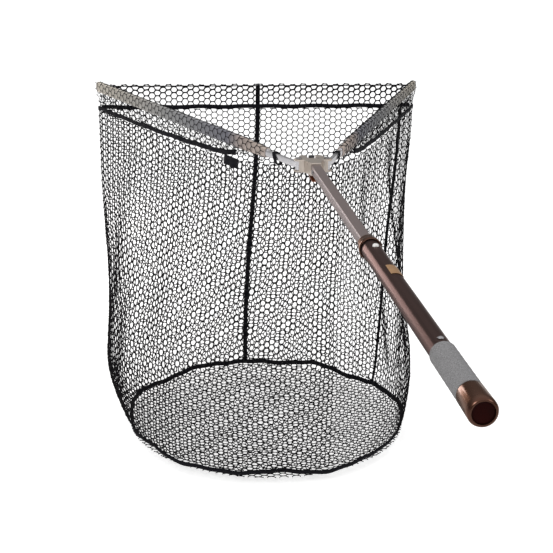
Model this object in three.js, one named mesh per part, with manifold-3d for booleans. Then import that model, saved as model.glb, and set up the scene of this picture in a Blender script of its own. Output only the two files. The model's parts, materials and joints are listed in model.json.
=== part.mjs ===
// A folding landing net: a two-section telescopic handle, a hinged pair of arms and a deep mesh bag.
// Millimetres. +Y runs from the handle to the head, +X to the right, +Z up. The origin is on the
// handle's axis, in the middle of the foam grip.
import * as THREE from 'three';
import Module from 'manifold-3d';
import { mergeVertices } from 'three/addons/utils/BufferGeometryUtils.js';

const wasm = await Module();
wasm.setup();

// ---------------------------------------------------------------- driving dimensions
const GAP = 0.3; // clearance between pieces that touch
const HINGE_Y = 771; // the arms' pivots, ahead of the middle of the grip

// handle, as distances behind the pivots
const TUBE_R = 11;
const TUBE_BORE_R = 10;
const TUBE_FRONT = 410;
const TUBE_BACK = 838;
const COLLAR_R = 13.2;
const COLLAR_FRONT = 394;
const COLLAR_BACK = 416;
const GRIP_R = 12.4;
const GRIP_FRONT = 728;
const GRIP_BACK = 815;
const CAP_R = 12.9;
const CAP_BACK = 852;
const BUTTON_Y = 439;
const RIVET_Y = 718;

// inner square section
const INNER_SIDE = 13.8;
const INNER_WALL = 1.2;
const INNER_CORNER = 2.4;
const INNER_FRONT = 30;
const INNER_BACK = 480;

// yoke and arms
const PIVOT_X = 20;
const PLATE_TOP = 9.2; // half height of the yoke
const PLATE_IN = 6.8; // the arms' barrels turn between +-6.8
const BARREL_R = 5.2;
const PIN_R = 2.2;
const LEVER_AXIS_Y = 14;
const ELBOW = new THREE.Vector2(50, 72); // where the link ends and the arm's tube is about to start
const TIP = new THREE.Vector2(310, 690);
const ARM_W = 9;
const ARM_H = 20;
const ARM_ROOT_K = 0.72; // the arm's height at its root, as a share of ARM_H
const LINK_T = 8.8;
const STRAP_W = 19;

// net
const TAIL_ROOT = 13; // depth of the arm's mesh sleeve at the yoke end
const TAIL_TIP = 36; // and at the tips
const TAPE_H = 8;
const TAPE_START = 112; // where the sleeve's seam tape begins, along the arm from its elbow
const RING_R = 247;
const RING_X = -16; // the bag's floor hangs a little to the left
const RING_Y = 360;
const RING_Z = -545;
const BAG_R = 252; // the wall just above the ring
const LEFT_CORNER_OUT = 42; // how far it stands out under the tips, where the mesh hangs in a fold
const RIGHT_CORNER_OUT = 6;
const BAG_T = 2;
const FLOOR_SAG = 14;
const TAG_W = 46;
const TAG_H = 15;

const ARM_DIR = TIP.clone().sub(ELBOW).normalize();
const ARM_LEN = TIP.distanceTo(ELBOW);

// ---------------------------------------------------------------- materials and helpers
const group = new THREE.Group();
group.name = 'landing_net';

const FINISH = {
  bronze: { color: 0x4a3a39, roughness: 0.32, metalness: 0.75 },
  taupe: { color: 0x77696b, roughness: 0.4, metalness: 0.7 },
  copper: { color: 0x7a4632, roughness: 0.3, metalness: 0.8 },
  champagne: { color: 0xc4b8ac, roughness: 0.35, metalness: 0.75 },
  silver: { color: 0xd0d0d8, roughness: 0.25, metalness: 0.9 },
  steel: { color: 0xb8b8bc, roughness: 0.3, metalness: 0.95 },
  blackPlastic: { color: 0x17161a, roughness: 0.55, metalness: 0 },
  whitePlastic: { color: 0xe8e6e2, roughness: 0.4, metalness: 0 },
  foam: { color: 0x77757a, roughness: 0.95, metalness: 0 },
  label: { color: 0xb08c62, roughness: 0.45, metalness: 0.3 },
  lever: { color: 0x7d3c16, roughness: 0.4, metalness: 0.6 },
  endDisc: { color: 0x180606, roughness: 0.35, metalness: 0.1 },
  mesh: { color: 0x151318, roughness: 0.85, metalness: 0 },
  tape: { color: 0x0e0e18, roughness: 0.9, metalness: 0 },
  cord: { color: 0x1c1b20, roughness: 0.8, metalness: 0 },
};

/** A watertight manifold solid from a three.js geometry. */
function solid(geometry) {
  const g = geometry.clone();
  g.deleteAttribute('normal');
  g.deleteAttribute('uv');
  const merged = mergeVertices(g, 1e-4);
  const mesh = new wasm.Mesh({
    numProp: 3,
    vertProperties: new Float32Array(merged.attributes.position.array),
    triVerts: new Uint32Array(merged.index.array),
  });
  return new wasm.Manifold(mesh);
}

/** A three.js geometry from a manifold solid. */
function geometryOf(body) {
  const mesh = body.getMesh();
  const g = new THREE.BufferGeometry();
  g.setAttribute('position', new THREE.BufferAttribute(new Float32Array(mesh.vertProperties), 3));
  g.setIndex(new THREE.BufferAttribute(new Uint32Array(mesh.triVerts), 1));
  return g;
}

function add(name, shape, finish) {
  const g = shape.isBufferGeometry ? shape.clone() : geometryOf(shape);
  g.translate(0, HINGE_Y, 0);
  g.computeVertexNormals();
  const mesh = new THREE.Mesh(g, new THREE.MeshStandardMaterial(FINISH[finish]));
  mesh.name = name;
  group.add(mesh);
}

function box(x0, x1, y0, y1, z0, z1) {
  const g = new THREE.BoxGeometry(x1 - x0, y1 - y0, z1 - z0);
  g.translate((x0 + x1) / 2, (y0 + y1) / 2, (z0 + z1) / 2);
  return solid(g);
}

/** A round solid about the handle's axis, between two distances behind the pivots. */
function rodY(r, front, back, sides = 32) {
  const g = new THREE.CylinderGeometry(r, r, back - front, sides);
  g.translate(0, -(front + back) / 2, 0);
  return solid(g);
}

function rodZ(r, x, y, z0, z1, sides = 24) {
  const g = new THREE.CylinderGeometry(r, r, z1 - z0, sides);
  g.rotateX(Math.PI / 2);
  g.translate(x, y, (z0 + z1) / 2);
  return solid(g);
}

function rodX(r, y, z, x0, x1, sides = 20) {
  const g = new THREE.CylinderGeometry(r, r, x1 - x0, sides);
  g.rotateZ(Math.PI / 2);
  g.translate((x0 + x1) / 2, y, z);
  return solid(g);
}

/** A turned piece about the handle's axis, from [radius, distance behind the pivots] pairs. */
function turned(profile, sides = 40) {
  const g = new THREE.LatheGeometry(profile.map(([r, d]) => new THREE.Vector2(r, -d)).reverse(), sides);
  return solid(g);
}

function roundedSquare(side, r) {
  const h = side / 2;
  const s = new THREE.Shape();
  s.absarc(h - r, h - r, r, 0, Math.PI / 2);
  s.absarc(-h + r, h - r, r, Math.PI / 2, Math.PI);
  s.absarc(-h + r, -h + r, r, Math.PI, Math.PI * 1.5);
  s.absarc(h - r, -h + r, r, Math.PI * 1.5, Math.PI * 2);
  s.closePath();
  return s;
}

/** A square bar along the handle's axis. */
function squareBar(side, r, front, back) {
  const g = new THREE.ExtrudeGeometry(roundedSquare(side, r), {
    depth: back - front,
    bevelEnabled: false,
    curveSegments: 5,
  });
  g.rotateX(Math.PI / 2);
  g.translate(0, -front, 0);
  return solid(g);
}

/** A plate in the XY plane between two heights, from [x, y] corners. */
function plate(points, z0, z1, bevel = 0) {
  const shape = new THREE.Shape(points.map(([x, y]) => new THREE.Vector2(x, y)));
  const g = new THREE.ExtrudeGeometry(shape, {
    depth: z1 - z0 - 2 * bevel,
    bevelEnabled: bevel > 0,
    bevelThickness: bevel,
    bevelSize: bevel,
    bevelOffset: -bevel,
    bevelSegments: 1,
  });
  g.translate(0, 0, z0 + bevel);
  return solid(g);
}

/** A plate in the YZ plane between two x, from [y, z] corners. */
function sidePlate(points, x0, x1) {
  const shape = new THREE.Shape(points.map(([y, z]) => new THREE.Vector2(y, z)));
  const g = new THREE.ExtrudeGeometry(shape, { depth: x1 - x0, bevelEnabled: false });
  g.rotateX(Math.PI / 2);
  g.rotateZ(Math.PI / 2);
  g.translate(x0, 0, 0);
  return solid(g);
}

/** Moves every vertex of a geometry by a function of its place. */
function mapped(geometry, f) {
  const g = geometry.clone();
  g.deleteAttribute('normal');
  g.deleteAttribute('uv');
  const merged = mergeVertices(g, 1e-4);
  const p = merged.attributes.position;
  const v = new THREE.Vector3();
  for (let i = 0; i < p.count; i++) {
    v.fromBufferAttribute(p, i);
    const q = f(v);
    p.setXYZ(i, q.x, q.y, q.z);
  }
  return merged;
}

/** The mirror image across x = 0, with its faces still outward. */
function mirrored(body) {
  return body.mirror([1, 0, 0]);
}

const lerp = THREE.MathUtils.lerp;
const clamp01 = (t) => THREE.MathUtils.clamp(t, 0, 1);
const smooth = (t) => THREE.MathUtils.smoothstep(t, 0, 1);

// ---------------------------------------------------------------- handle
function buildHandle() {
  let tube = rodY(TUBE_R, TUBE_FRONT, TUBE_BACK, 40).subtract(
    rodY(TUBE_BORE_R, TUBE_FRONT - 1, TUBE_BACK + 1, 40),
  );
  tube = tube.subtract(rodZ(3.7, 0, -BUTTON_Y, 5, 15));
  tube = tube.subtract(rodZ(1.9, 0, -RIVET_Y, 5, 15, 16));
  add('outer_tube', tube, 'bronze');

  // bell-shaped collar with a rolled rim, its mouth a little wider than the tube
  let collar = turned([
    [0, COLLAR_FRONT],
    [10.4, COLLAR_FRONT],
    [11.2, COLLAR_FRONT + 1],
    [11.4, COLLAR_FRONT + 6],
    [12, COLLAR_FRONT + 11],
    [COLLAR_R - 0.2, COLLAR_FRONT + 16],
    [COLLAR_R, COLLAR_BACK - 3],
    [COLLAR_R - 0.3, COLLAR_BACK - 1],
    [COLLAR_R - 0.9, COLLAR_BACK],
    [0, COLLAR_BACK],
  ]);
  collar = collar.subtract(rodY(TUBE_R + GAP, TUBE_FRONT - GAP, COLLAR_BACK + 1, 40));
  collar = collar.subtract(rodY(COLLAR_R - 1, COLLAR_BACK - 2.5, COLLAR_BACK + 1, 40));
  collar = collar.subtract(squareBar(INNER_SIDE + 0.9, INNER_CORNER, COLLAR_FRONT - 1, COLLAR_BACK));
  add('collar', collar, 'copper');

  const bush = rodY(TUBE_BORE_R - GAP, TUBE_FRONT + 0.2, 431, 36).subtract(
    squareBar(INNER_SIDE + 0.7, INNER_CORNER + 0.2, TUBE_FRONT - 1, 432),
  );
  add('guide_bush', bush, 'blackPlastic');

  const grip = turned([
    [TUBE_R + GAP, GRIP_FRONT],
    [GRIP_R - 0.5, GRIP_FRONT],
    [GRIP_R, GRIP_FRONT + 1.2],
    [GRIP_R, GRIP_BACK],
    [TUBE_R + GAP, GRIP_BACK],
    [TUBE_R + GAP, GRIP_FRONT],
  ]);
  add('grip', grip, 'foam');

  const cap = turned([
    [TUBE_R + GAP, GRIP_BACK + GAP],
    [CAP_R - 1.2, GRIP_BACK + GAP],
    [CAP_R - 0.4, GRIP_BACK + 1.4],
    [CAP_R, CAP_BACK - 8],
    [CAP_R, CAP_BACK - 3],
    [CAP_R - 0.8, CAP_BACK - 0.9],
    [CAP_R - 2, CAP_BACK],
    [CAP_R - 3, CAP_BACK],
    [CAP_R - 3, CAP_BACK - 4],
    [0, CAP_BACK - 4],
    [0, TUBE_BACK + GAP],
    [TUBE_R + GAP, TUBE_BACK + GAP],
    [TUBE_R + GAP, GRIP_BACK + GAP],
  ]);
  add('butt_cap', cap, 'copper');
  add('end_disc', rodY(CAP_R - 3.3, CAP_BACK - 3.7, CAP_BACK - 1.6, 36), 'endDisc');
  add('tube_plug', rodY(TUBE_BORE_R - GAP, TUBE_BACK - 9, TUBE_BACK - 0.5, 32), 'blackPlastic');

  const band = rodY(TUBE_R + 0.75, 508, 536, 40).subtract(rodY(TUBE_R + GAP, 507, 537, 40));
  const wedge = plate([[0, 0], [20, 12], [20, 22], [-8, 22]], 507, 537);
  const turnedWedge = wedge.rotate([90, 0, 0]);
  add('label_plate', band.intersect(turnedWedge), 'label');

  const head = new THREE.SphereGeometry(4.2, 20, 12);
  head.translate(0, -RIVET_Y, TUBE_R - 2.4);
  const rivetHead = solid(head).intersect(box(-3, 3, -RIVET_Y - 3, -RIVET_Y + 3, TUBE_R + 0.25, 20));
  add('grip_rivet', rivetHead.add(rodZ(1.5, 0, -RIVET_Y, TUBE_R - 3, TUBE_R + 0.6, 16)), 'steel');
}

// ---------------------------------------------------------------- sliding section and yoke
function buildExtension() {
  let tube = squareBar(INNER_SIDE, INNER_CORNER, INNER_FRONT, INNER_BACK).subtract(
    squareBar(INNER_SIDE - 2 * INNER_WALL, INNER_CORNER - INNER_WALL, INNER_FRONT - 1, INNER_BACK + 1),
  );
  tube = tube.subtract(rodZ(3.7, 0, -BUTTON_Y, 0, 12));
  tube = tube.subtract(rodX(1.9, -46, 0, -12, 12));
  add('inner_tube', tube, 'taupe');

  const spigot = INNER_SIDE - 2 * INNER_WALL - 2 * GAP;
  const slider = rodY(TUBE_BORE_R - GAP, INNER_BACK + GAP, INNER_BACK + 8, 32).add(
    squareBar(spigot, 1, INNER_BACK - 14, INNER_BACK + 1),
  );
  add('guide_plug', slider, 'blackPlastic');

  const half = INNER_SIDE / 2 - INNER_WALL - GAP;
  const leaf = sidePlate(
    [
      [-BUTTON_Y - 7, 2.2],
      [-BUTTON_Y + 7, 2.2],
      [-BUTTON_Y + 22, -half + 0.9],
      [-BUTTON_Y + 24, -half + 0.9],
      [-BUTTON_Y + 24, -half],
      [-BUTTON_Y + 21.6, -half],
      [-BUTTON_Y + 6.7, 1.4],
      [-BUTTON_Y - 6.7, 1.4],
      [-BUTTON_Y - 17.6, -half],
      [-BUTTON_Y - 20, -half],
      [-BUTTON_Y - 20, -half + 0.9],
      [-BUTTON_Y - 18, -half + 0.9],
    ],
    -4,
    4,
  );
  add('button_spring', leaf, 'steel');

  const stem = rodZ(3.3, 0, -BUTTON_Y, 3.5, 12.6).add(rodZ(5, 0, -BUTTON_Y, 2.5, 4.2));
  const dome = rodZ(2.5, 0, -BUTTON_Y, 12, 13.3);
  add('lock_button', stem.add(dome), 'whitePlastic');

  buildYoke(spigot);
}

/** The cast head: two ear plates, a core between them and a spigot in the square section. */
function buildYoke(spigot) {
  const halfPlan = [
    [7.2, -INNER_FRONT + GAP],
    [8.4, -23],
    [11.5, -13],
    [14, -8.5],
    [19, -8],
    [24, -6.6],
    [27, -3],
    [27.4, 1.5],
    [25, 6],
    [20.5, 9],
    [18, 14],
    [17, 21],
    [13.5, 24],
    [6.6, 24],
    [6.6, 5],
  ];
  const plan = halfPlan.concat(halfPlan.map(([x, y]) => [-x, y]).reverse());
  let yoke = plate(plan, -PLATE_TOP, PLATE_TOP, 0.8);
  for (const s of [-1, 1]) {
    // room for the barrel and for the link's swing
    yoke = yoke.subtract(rodZ(BARREL_R + 0.7, s * PIVOT_X, 0, -PLATE_IN, PLATE_IN, 28));
    const pocket = [
      [s * 15, 3],
      [s * 12.4, 8],
      [s * 12.4, 30],
      [s * 40, 30],
      [s * 40, -12],
      [s * 22, -12],
      [s * 20, -4],
    ];
    yoke = yoke.subtract(plate(s > 0 ? pocket : pocket.reverse(), -PLATE_IN, PLATE_IN));
    yoke = yoke.subtract(rodZ(PIN_R + GAP, s * PIVOT_X, 0, -12, 12));
  }
  yoke = yoke.subtract(rodX(1.5 + GAP, LEVER_AXIS_Y, 0, -16, 16));
  const post = squareBar(spigot, 1, INNER_FRONT - 4, 64).subtract(rodX(1.9, -46, 0, -12, 12));
  yoke = yoke.add(post);
  add('yoke', yoke, 'champagne');

  const rivet = rodX(1.6, -46, 0, -8.4, 8.4)
    .add(rodX(2.8, -46, 0, INNER_SIDE / 2 + GAP, 8.7))
    .add(rodX(2.8, -46, 0, -8.7, -INNER_SIDE / 2 - GAP));
  add('yoke_rivet', rivet, 'steel');

  for (const [name, s] of [['left', -1], ['right', 1]]) {
    const pin = rodZ(PIN_R, s * PIVOT_X, 0, -PLATE_TOP - 1, PLATE_TOP + 1)
      .add(rodZ(4, s * PIVOT_X, 0, PLATE_TOP + GAP, PLATE_TOP + 1.6))
      .add(rodZ(4, s * PIVOT_X, 0, -PLATE_TOP - 1.6, -PLATE_TOP - GAP));
    add(`pivot_pin_${name}`, pin, 'steel');
  }
  add('cross_pin', rodX(1.5, LEVER_AXIS_Y, 0, -13, 13), 'steel');

  const turns = 3;
  const perTurn = 10;
  const points = [];
  for (let i = 0; i <= turns * perTurn; i++) {
    const a = (i / perTurn) * Math.PI * 2;
    const x = 4.4 + (i / perTurn) * 0.45;
    points.push(new THREE.Vector3(x, LEVER_AXIS_Y + 2.5 * Math.cos(a), 2.5 * Math.sin(a)));
  }
  const wire = new THREE.Shape();
  wire.absarc(0, 0, 0.2, 0, Math.PI * 2);
  const coil = new THREE.ExtrudeGeometry(wire, {
    steps: turns * perTurn,
    curveSegments: 3,
    bevelEnabled: false,
    extrudePath: new THREE.CatmullRomCurve3(points),
  });
  add('lever_spring', solid(coil), 'steel');

  const pawl = sidePlate(
    [[8.4, -8], [19.6, -8], [20.6, 4], [18, 10.4], [11, 10.4], [8.4, 5]],
    -3.6,
    3.6,
  ).subtract(rodX(1.5 + GAP, LEVER_AXIS_Y, 0, -5, 5));
  add('release_pawl', pawl, 'blackPlastic');
  const outline = [
    [8.4, -8.3],
    [18, -8.3],
    [18, -12.5],
    [12, -15.2],
    [-28, -17.8],
    [-33, -16.6],
    [-33, -15],
    [-27, -15.8],
    [4, -13],
    [7.4, -12],
  ];
  add('release_lever', sidePlate(outline, -5.5, 5.5), 'lever');
}

// ---------------------------------------------------------------- arms
/** The arm's height at a distance from the elbow, as a share of its full height. */
const armHeight = (along) => lerp(ARM_ROOT_K, 1, smooth(clamp01((along - 10) / 70)));

/** A bar along the right arm's line, between two distances from the elbow; taper follows the arm's height. */
function armBar(shape, from, to, taper = false) {
  const length = to - from;
  const g = new THREE.ExtrudeGeometry(shape, {
    depth: length,
    steps: taper ? 9 : 1,
    bevelEnabled: false,
    curveSegments: 8,
  });
  return mapped(g, (v) => {
    const along = taper ? from + (v.z * v.z) / length : from + v.z;
    return armPoint(along, v.x, taper ? v.y * armHeight(along) : v.y);
  });
}

/** Along the right arm from its elbow, inward from it, and up. */
function armPoint(along, inward, up) {
  return new THREE.Vector3(
    ELBOW.x + ARM_DIR.x * along - ARM_DIR.y * inward,
    ELBOW.y + ARM_DIR.y * along + ARM_DIR.x * inward,
    up,
  );
}

function ovalPath(target, w, h) {
  const r = w / 2;
  const c = h / 2 - r;
  target.absarc(0, c, r, 0, Math.PI);
  target.absarc(0, -c, r, Math.PI, Math.PI * 2);
  target.closePath();
  return target;
}

const sleeveTail = (along) => lerp(TAIL_ROOT, TAIL_TIP, clamp01(along / ARM_LEN));

function buildArm(side, flip) {
  const put = (name, shape, finish) => {
    const body = shape.isBufferGeometry ? solid(shape) : shape;
    add(`${name}_${side}`, flip ? mirrored(body) : body, finish);
  };

  // barrel and flat link, with a spigot in the arm
  const beside = (x, y, along, out) => [
    x + ARM_DIR.x * along + ARM_DIR.y * out,
    y + ARM_DIR.y * along - ARM_DIR.x * out,
  ];
  const link = plate(
    [
      beside(PIVOT_X, 0, 0, 2.6),
      beside(PIVOT_X, 0, 16, 3),
      beside(ELBOW.x, ELBOW.y, 16, 3),
      beside(ELBOW.x, ELBOW.y, 16, -3),
      beside(PIVOT_X, 0, 16, -3),
      beside(PIVOT_X, 0, 0, -2.6),
    ],
    -LINK_T / 2,
    LINK_T / 2,
    0.6,
  );
  const barrel = rodZ(BARREL_R, PIVOT_X, 0, -PLATE_IN + GAP, PLATE_IN - GAP, 28);
  const core = solid(armBar(ovalPath(new THREE.Shape(), ARM_W - 2.6, ARM_ROOT_K * ARM_H - 2.6), 12, 44));
  let root = link.subtract(solid(armBar(ovalPath(new THREE.Shape(), 30, 60), 13, 60)));
  root = root.add(core).add(barrel).subtract(rodZ(PIN_R + GAP, PIVOT_X, 0, -12, 12));
  const at = armPoint(30, 0, 0);
  root = root.subtract(rodZ(1.5, at.x, at.y, -12, 12, 14));
  put('link', root, 'silver');

  let tube = solid(armBar(ovalPath(new THREE.Shape(), ARM_W, ARM_H), 13.3, ARM_LEN - 6, true));
  const bore = ovalPath(new THREE.Shape(), ARM_W - 2, ARM_H - 2.4);
  tube = tube.subtract(solid(armBar(bore, 12, ARM_LEN + 2, true)));
  tube = tube.subtract(rodZ(1.5, at.x, at.y, -12, 12, 14));
  put('arm_tube', tube, 'champagne');

  const rivetEnd = (armHeight(30) * ARM_H) / 2 + 0.1;
  put('arm_rivet', rodZ(1.2, at.x, at.y, -rivetEnd, rivetEnd, 14), 'steel');

  // rounded plug in the arm's end
  let tip = solid(armBar(ovalPath(new THREE.Shape(), ARM_W - 2.8, ARM_H - 3.2), ARM_LEN - 22, ARM_LEN - 4));
  const nose = new THREE.SphereGeometry(1, 16, 10);
  const dome = mapped(nose, (v) => {
    const along = ARM_LEN - 5.6 + Math.max(v.z, 0) * 9;
    return armPoint(along, v.x * (ARM_W / 2), v.y * (ARM_H / 2));
  });
  tip = tip.add(solid(dome));
  put('arm_tip', tip, 'blackPlastic');

  // mesh sleeve, a loop round the arm with a flat tail that deepens towards the tip
  const loop = new THREE.Shape();
  const w = ARM_W / 2 + 1.8;
  const c = ARM_H / 2 - ARM_W / 2;
  loop.absarc(0, c, w, 0, Math.PI);
  loop.absarc(0, -c, w, Math.PI, Math.PI * 1.5 - 0.18);
  loop.lineTo(-1.2, -TAIL_ROOT);
  loop.lineTo(1.2, -TAIL_ROOT);
  loop.absarc(0, -c, w, Math.PI * 1.5 + 0.18, Math.PI * 2);
  loop.closePath();
  loop.holes.push(ovalPath(new THREE.Path(), ARM_W + 1.2, ARM_H + 1.2));
  const sleeveLength = ARM_LEN - 4 - 20;
  const sleeveShape = new THREE.ExtrudeGeometry(loop, {
    depth: sleeveLength,
    steps: 9,
    bevelEnabled: false,
    curveSegments: 6,
  });
  const sleeve = mapped(sleeveShape, (v) => {
    const along = 20 + (v.z * v.z) / sleeveLength;
    const inTail = v.y <= -TAIL_ROOT + 0.01;
    return armPoint(along, v.x, inTail ? -sleeveTail(along) : v.y * armHeight(along));
  });
  put('sleeve', sleeve, 'mesh');

  const tapeLength = ARM_LEN - 4 - TAPE_START;
  const tape = mapped(new THREE.BoxGeometry(2.4, TAPE_H, tapeLength, 1, 1, 8), (v) => {
    const along = TAPE_START + tapeLength / 2 + v.z;
    return armPoint(along, v.x, -sleeveTail(along) - GAP - TAPE_H / 2 + v.y);
  });
  put('mouth_tape', tape, 'tape');

  // webbing loop round the link
  const loopAt = new THREE.Vector2(lerp(PIVOT_X, ELBOW.x, 0.8), lerp(0, ELBOW.y, 0.8));
  const outer = new THREE.BoxGeometry(STRAP_W, 9.4, 14.6);
  const inner = new THREE.BoxGeometry(STRAP_W + 4, 7.4, 11);
  const place = (g) => {
    g.rotateZ(Math.atan2(ELBOW.y, ELBOW.x - PIVOT_X));
    g.translate(loopAt.x, loopAt.y, -0.2);
    return solid(g);
  };
  put('strap', place(outer).subtract(place(inner)), 'tape');
}

// ---------------------------------------------------------------- net
// Round the bag, u runs from 0 at the yoke by the right tip, the far side and the left tip back to 1.
const CORNER_U = 0.36;
const SIDE_TAPE_U = 0.372;
const MOUTH = [
  [0, 0, 76],
  [0.06, 58, 88],
  [CORNER_U, TIP.x, TIP.y],
  [0.5, 0, TIP.y],
  [1 - CORNER_U, -TIP.x, TIP.y],
  [0.94, -58, 88],
  [1, 0, 76],
];
const TURN = [[0, -90], [CORNER_U, 22], [0.5, 93], [1 - CORNER_U, 158], [1, 270]]; // degrees round the ring

/** Reads a table whose rows start with u, linearly between its rows. */
function readTable(table, u) {
  const k = Math.max(1, table.findIndex(([limit]) => limit >= u));
  const [u0, ...from] = table[k - 1];
  const [u1, ...to] = table[k];
  return from.map((value, i) => lerp(value, to[i], (u - u0) / (u1 - u0)));
}

/** The bag's top edge hangs just under the sleeve's seam tape. */
function topEdge(u) {
  const far = -TAIL_TIP - TAPE_H - 2 * GAP;
  const near = -TAIL_ROOT - TAPE_H - 4;
  return lerp(near, far, Math.min(u / CORNER_U, (1 - u) / CORNER_U, 1));
}

/** How far the wall stands out from the ring, at an angle in degrees. */
function wallRadius(turn) {
  const fold = (corner) => Math.exp(-(((turn - corner) / 28) ** 2));
  return BAG_R + RIGHT_CORNER_OUT * fold(TURN[1][1]) + LEFT_CORNER_OUT * fold(TURN[3][1]);
}

/** The bag's wall: u round it from 0 to 1, s down it from 0 to 1, and a distance outward. */
function wallPoint(u, s, outward) {
  const [turn] = readTable(TURN, u);
  const a = THREE.MathUtils.degToRad(turn);
  const around = (r) => new THREE.Vector2(RING_X + r * Math.cos(a), RING_Y + r * Math.sin(a));
  const tuck = clamp01((s - 0.8) / 0.2);
  const p = new THREE.Vector2(...readTable(MOUTH, u))
    .lerp(around(wallRadius(turn)), smooth(Math.min(s / 0.88, 1)))
    .lerp(around(RING_R), 1 - Math.sqrt(1 - 0.98 * tuck * tuck));
  const centre = new THREE.Vector2(RING_X * s, lerp(430, RING_Y, s));
  const away = p.clone().sub(centre).normalize();
  p.addScaledVector(away, outward);
  return new THREE.Vector3(p.x, p.y, lerp(topEdge(u), RING_Z + 6.5, s));
}

function buildNet() {
  // wall: a closed ring profile turned once, then drawn onto the bag's shape
  const rows = 12;
  const profile = [];
  for (let i = 0; i <= rows; i++) {
    profile.push(new THREE.Vector2(11, i / rows));
  }
  for (let i = rows; i >= 0; i--) {
    profile.push(new THREE.Vector2(10, i / rows));
  }
  profile.push(profile[0].clone());
  const around = 50;
  const tube = new THREE.LatheGeometry(profile, around);
  const wall = mapped(tube, (v) => {
    const turn = Math.atan2(v.x, v.z) / (Math.PI * 2);
    const u = Math.round((turn < -1e-9 ? turn + 1 : turn) * around) / around;
    const outward = Math.hypot(v.x, v.z) > 10.5 ? 0 : -BAG_T;
    return wallPoint(u, 1 - v.y, outward);
  });
  add('net_wall', solid(wall), 'mesh');

  const dish = [];
  const steps = 5;
  for (let i = 0; i <= steps; i++) {
    const r = (i / steps) * (RING_R - 3);
    dish.push([r, RING_Z - 3.8 - FLOOR_SAG * (1 - (r / RING_R) ** 2)]);
  }
  const floorProfile = dish
    .map(([r, z]) => new THREE.Vector2(r, z - BAG_T))
    .concat(dish.map(([r, z]) => new THREE.Vector2(r, z)).reverse());
  const floor = new THREE.LatheGeometry(floorProfile, 40);
  floor.rotateX(Math.PI / 2);
  floor.translate(RING_X, RING_Y, 0);
  add('net_floor', solid(floor), 'mesh');

  const band = [[RING_R - 3, -3.4], [RING_R + 3, -3.4], [RING_R + 3, 5.8], [RING_R - 3, 5.8], [RING_R - 3, -3.4]];
  const ring = new THREE.LatheGeometry(band.map(([r, z]) => new THREE.Vector2(r, z)), 48);
  ring.rotateX(Math.PI / 2);
  ring.translate(RING_X, RING_Y, RING_Z);
  add('ring_tape', solid(ring), 'tape');

  // corner seam's tape, on the outside of the wall
  const strip = mapped(new THREE.BoxGeometry(8, 1.2, 1, 1, 1, rows), (v) => {
    const s = v.z + 0.5;
    const p = wallPoint(SIDE_TAPE_U, s, v.y + 2.2);
    const edge = wallPoint(SIDE_TAPE_U + 0.004, s, 0).sub(wallPoint(SIDE_TAPE_U - 0.004, s, 0));
    return p.addScaledVector(edge.setZ(0).normalize(), v.x);
  });
  add('side_tape', solid(strip), 'tape');

  // centre tape at the back, from the hem's fold down to the ring
  const line = [[TIP.y + 5, 3], [TIP.y + 5, -30], [TIP.y + 2.2, -36], [TIP.y + 2.2, -46]];
  const downSeam = [];
  for (let i = 1; i <= rows; i++) {
    const p = wallPoint(0.5, i / rows, 1.2);
    line.push([p.y, p.z]);
    downSeam.push(p);
  }
  const outside = line.map(([y, z]) => [y + 1.2, z]).reverse();
  const backTape = sidePlate(line.concat(outside), -4.25, 4.25);
  const drift = (z) => (downSeam.find((p) => Math.abs(p.z - z) < 0.01) ?? { x: 0 }).x;
  const hung = mapped(geometryOf(backTape), (v) => new THREE.Vector3(v.x + drift(v.z), v.y, v.z));
  add('back_tape', solid(hung), 'tape');

  // far hem: mesh folded over the cord between the tips
  const hemHalf = TIP.x - 16;
  const hem = new THREE.Shape();
  hem.absarc(0, 0, 4, 0, Math.PI);
  hem.lineTo(-1.2, -TAIL_TIP);
  hem.lineTo(1.2, -TAIL_TIP);
  hem.closePath();
  hem.holes.push(new THREE.Path().absarc(0, 0, 2.6, 0, Math.PI * 2));
  const hemBody = new THREE.ExtrudeGeometry(hem, {
    depth: 2 * hemHalf,
    steps: 1,
    bevelEnabled: false,
    curveSegments: 8,
  });
  add('far_hem', solid(mapped(hemBody, (v) => new THREE.Vector3(v.z - hemHalf, TIP.y + v.x, v.y))), 'mesh');
  add(
    'hem_tape',
    box(-hemHalf, hemHalf, TIP.y - 1.2, TIP.y + 1.2, -TAIL_TIP - GAP - TAPE_H, -TAIL_TIP - GAP),
    'tape',
  );
  const cordEnd = TIP.x - 9;
  add('tip_cord', rodX(2, TIP.y, 0, -cordEnd, cordEnd, 12), 'cord');

  // plain sewn tag, just under the left seam
  const tagAt = wallPoint(0.895, 0, 0);
  const along = wallPoint(0.88, 0, 0).sub(wallPoint(0.91, 0, 0)).setZ(0).normalize();
  const out = new THREE.Vector3(-along.y, along.x, 0);
  const tag = mapped(new THREE.BoxGeometry(TAG_W, 1.2, TAG_H), (v) =>
    tagAt
      .clone()
      .addScaledVector(along, v.x)
      .addScaledVector(out, v.y + 4)
      .setZ(tagAt.z - 3 + v.z),
  );
  add('net_tag', solid(tag), 'tape');
}

buildHandle();
buildExtension();
buildArm('right', false);
buildArm('left', true);
buildNet();

export default group;
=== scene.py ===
"""Looks for the folding landing net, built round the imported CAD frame. Metres, +Y towards the head, +Z up."""
import json
import math

import bmesh
import bpy
import numpy as np
from mathutils import Matrix, Vector


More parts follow.
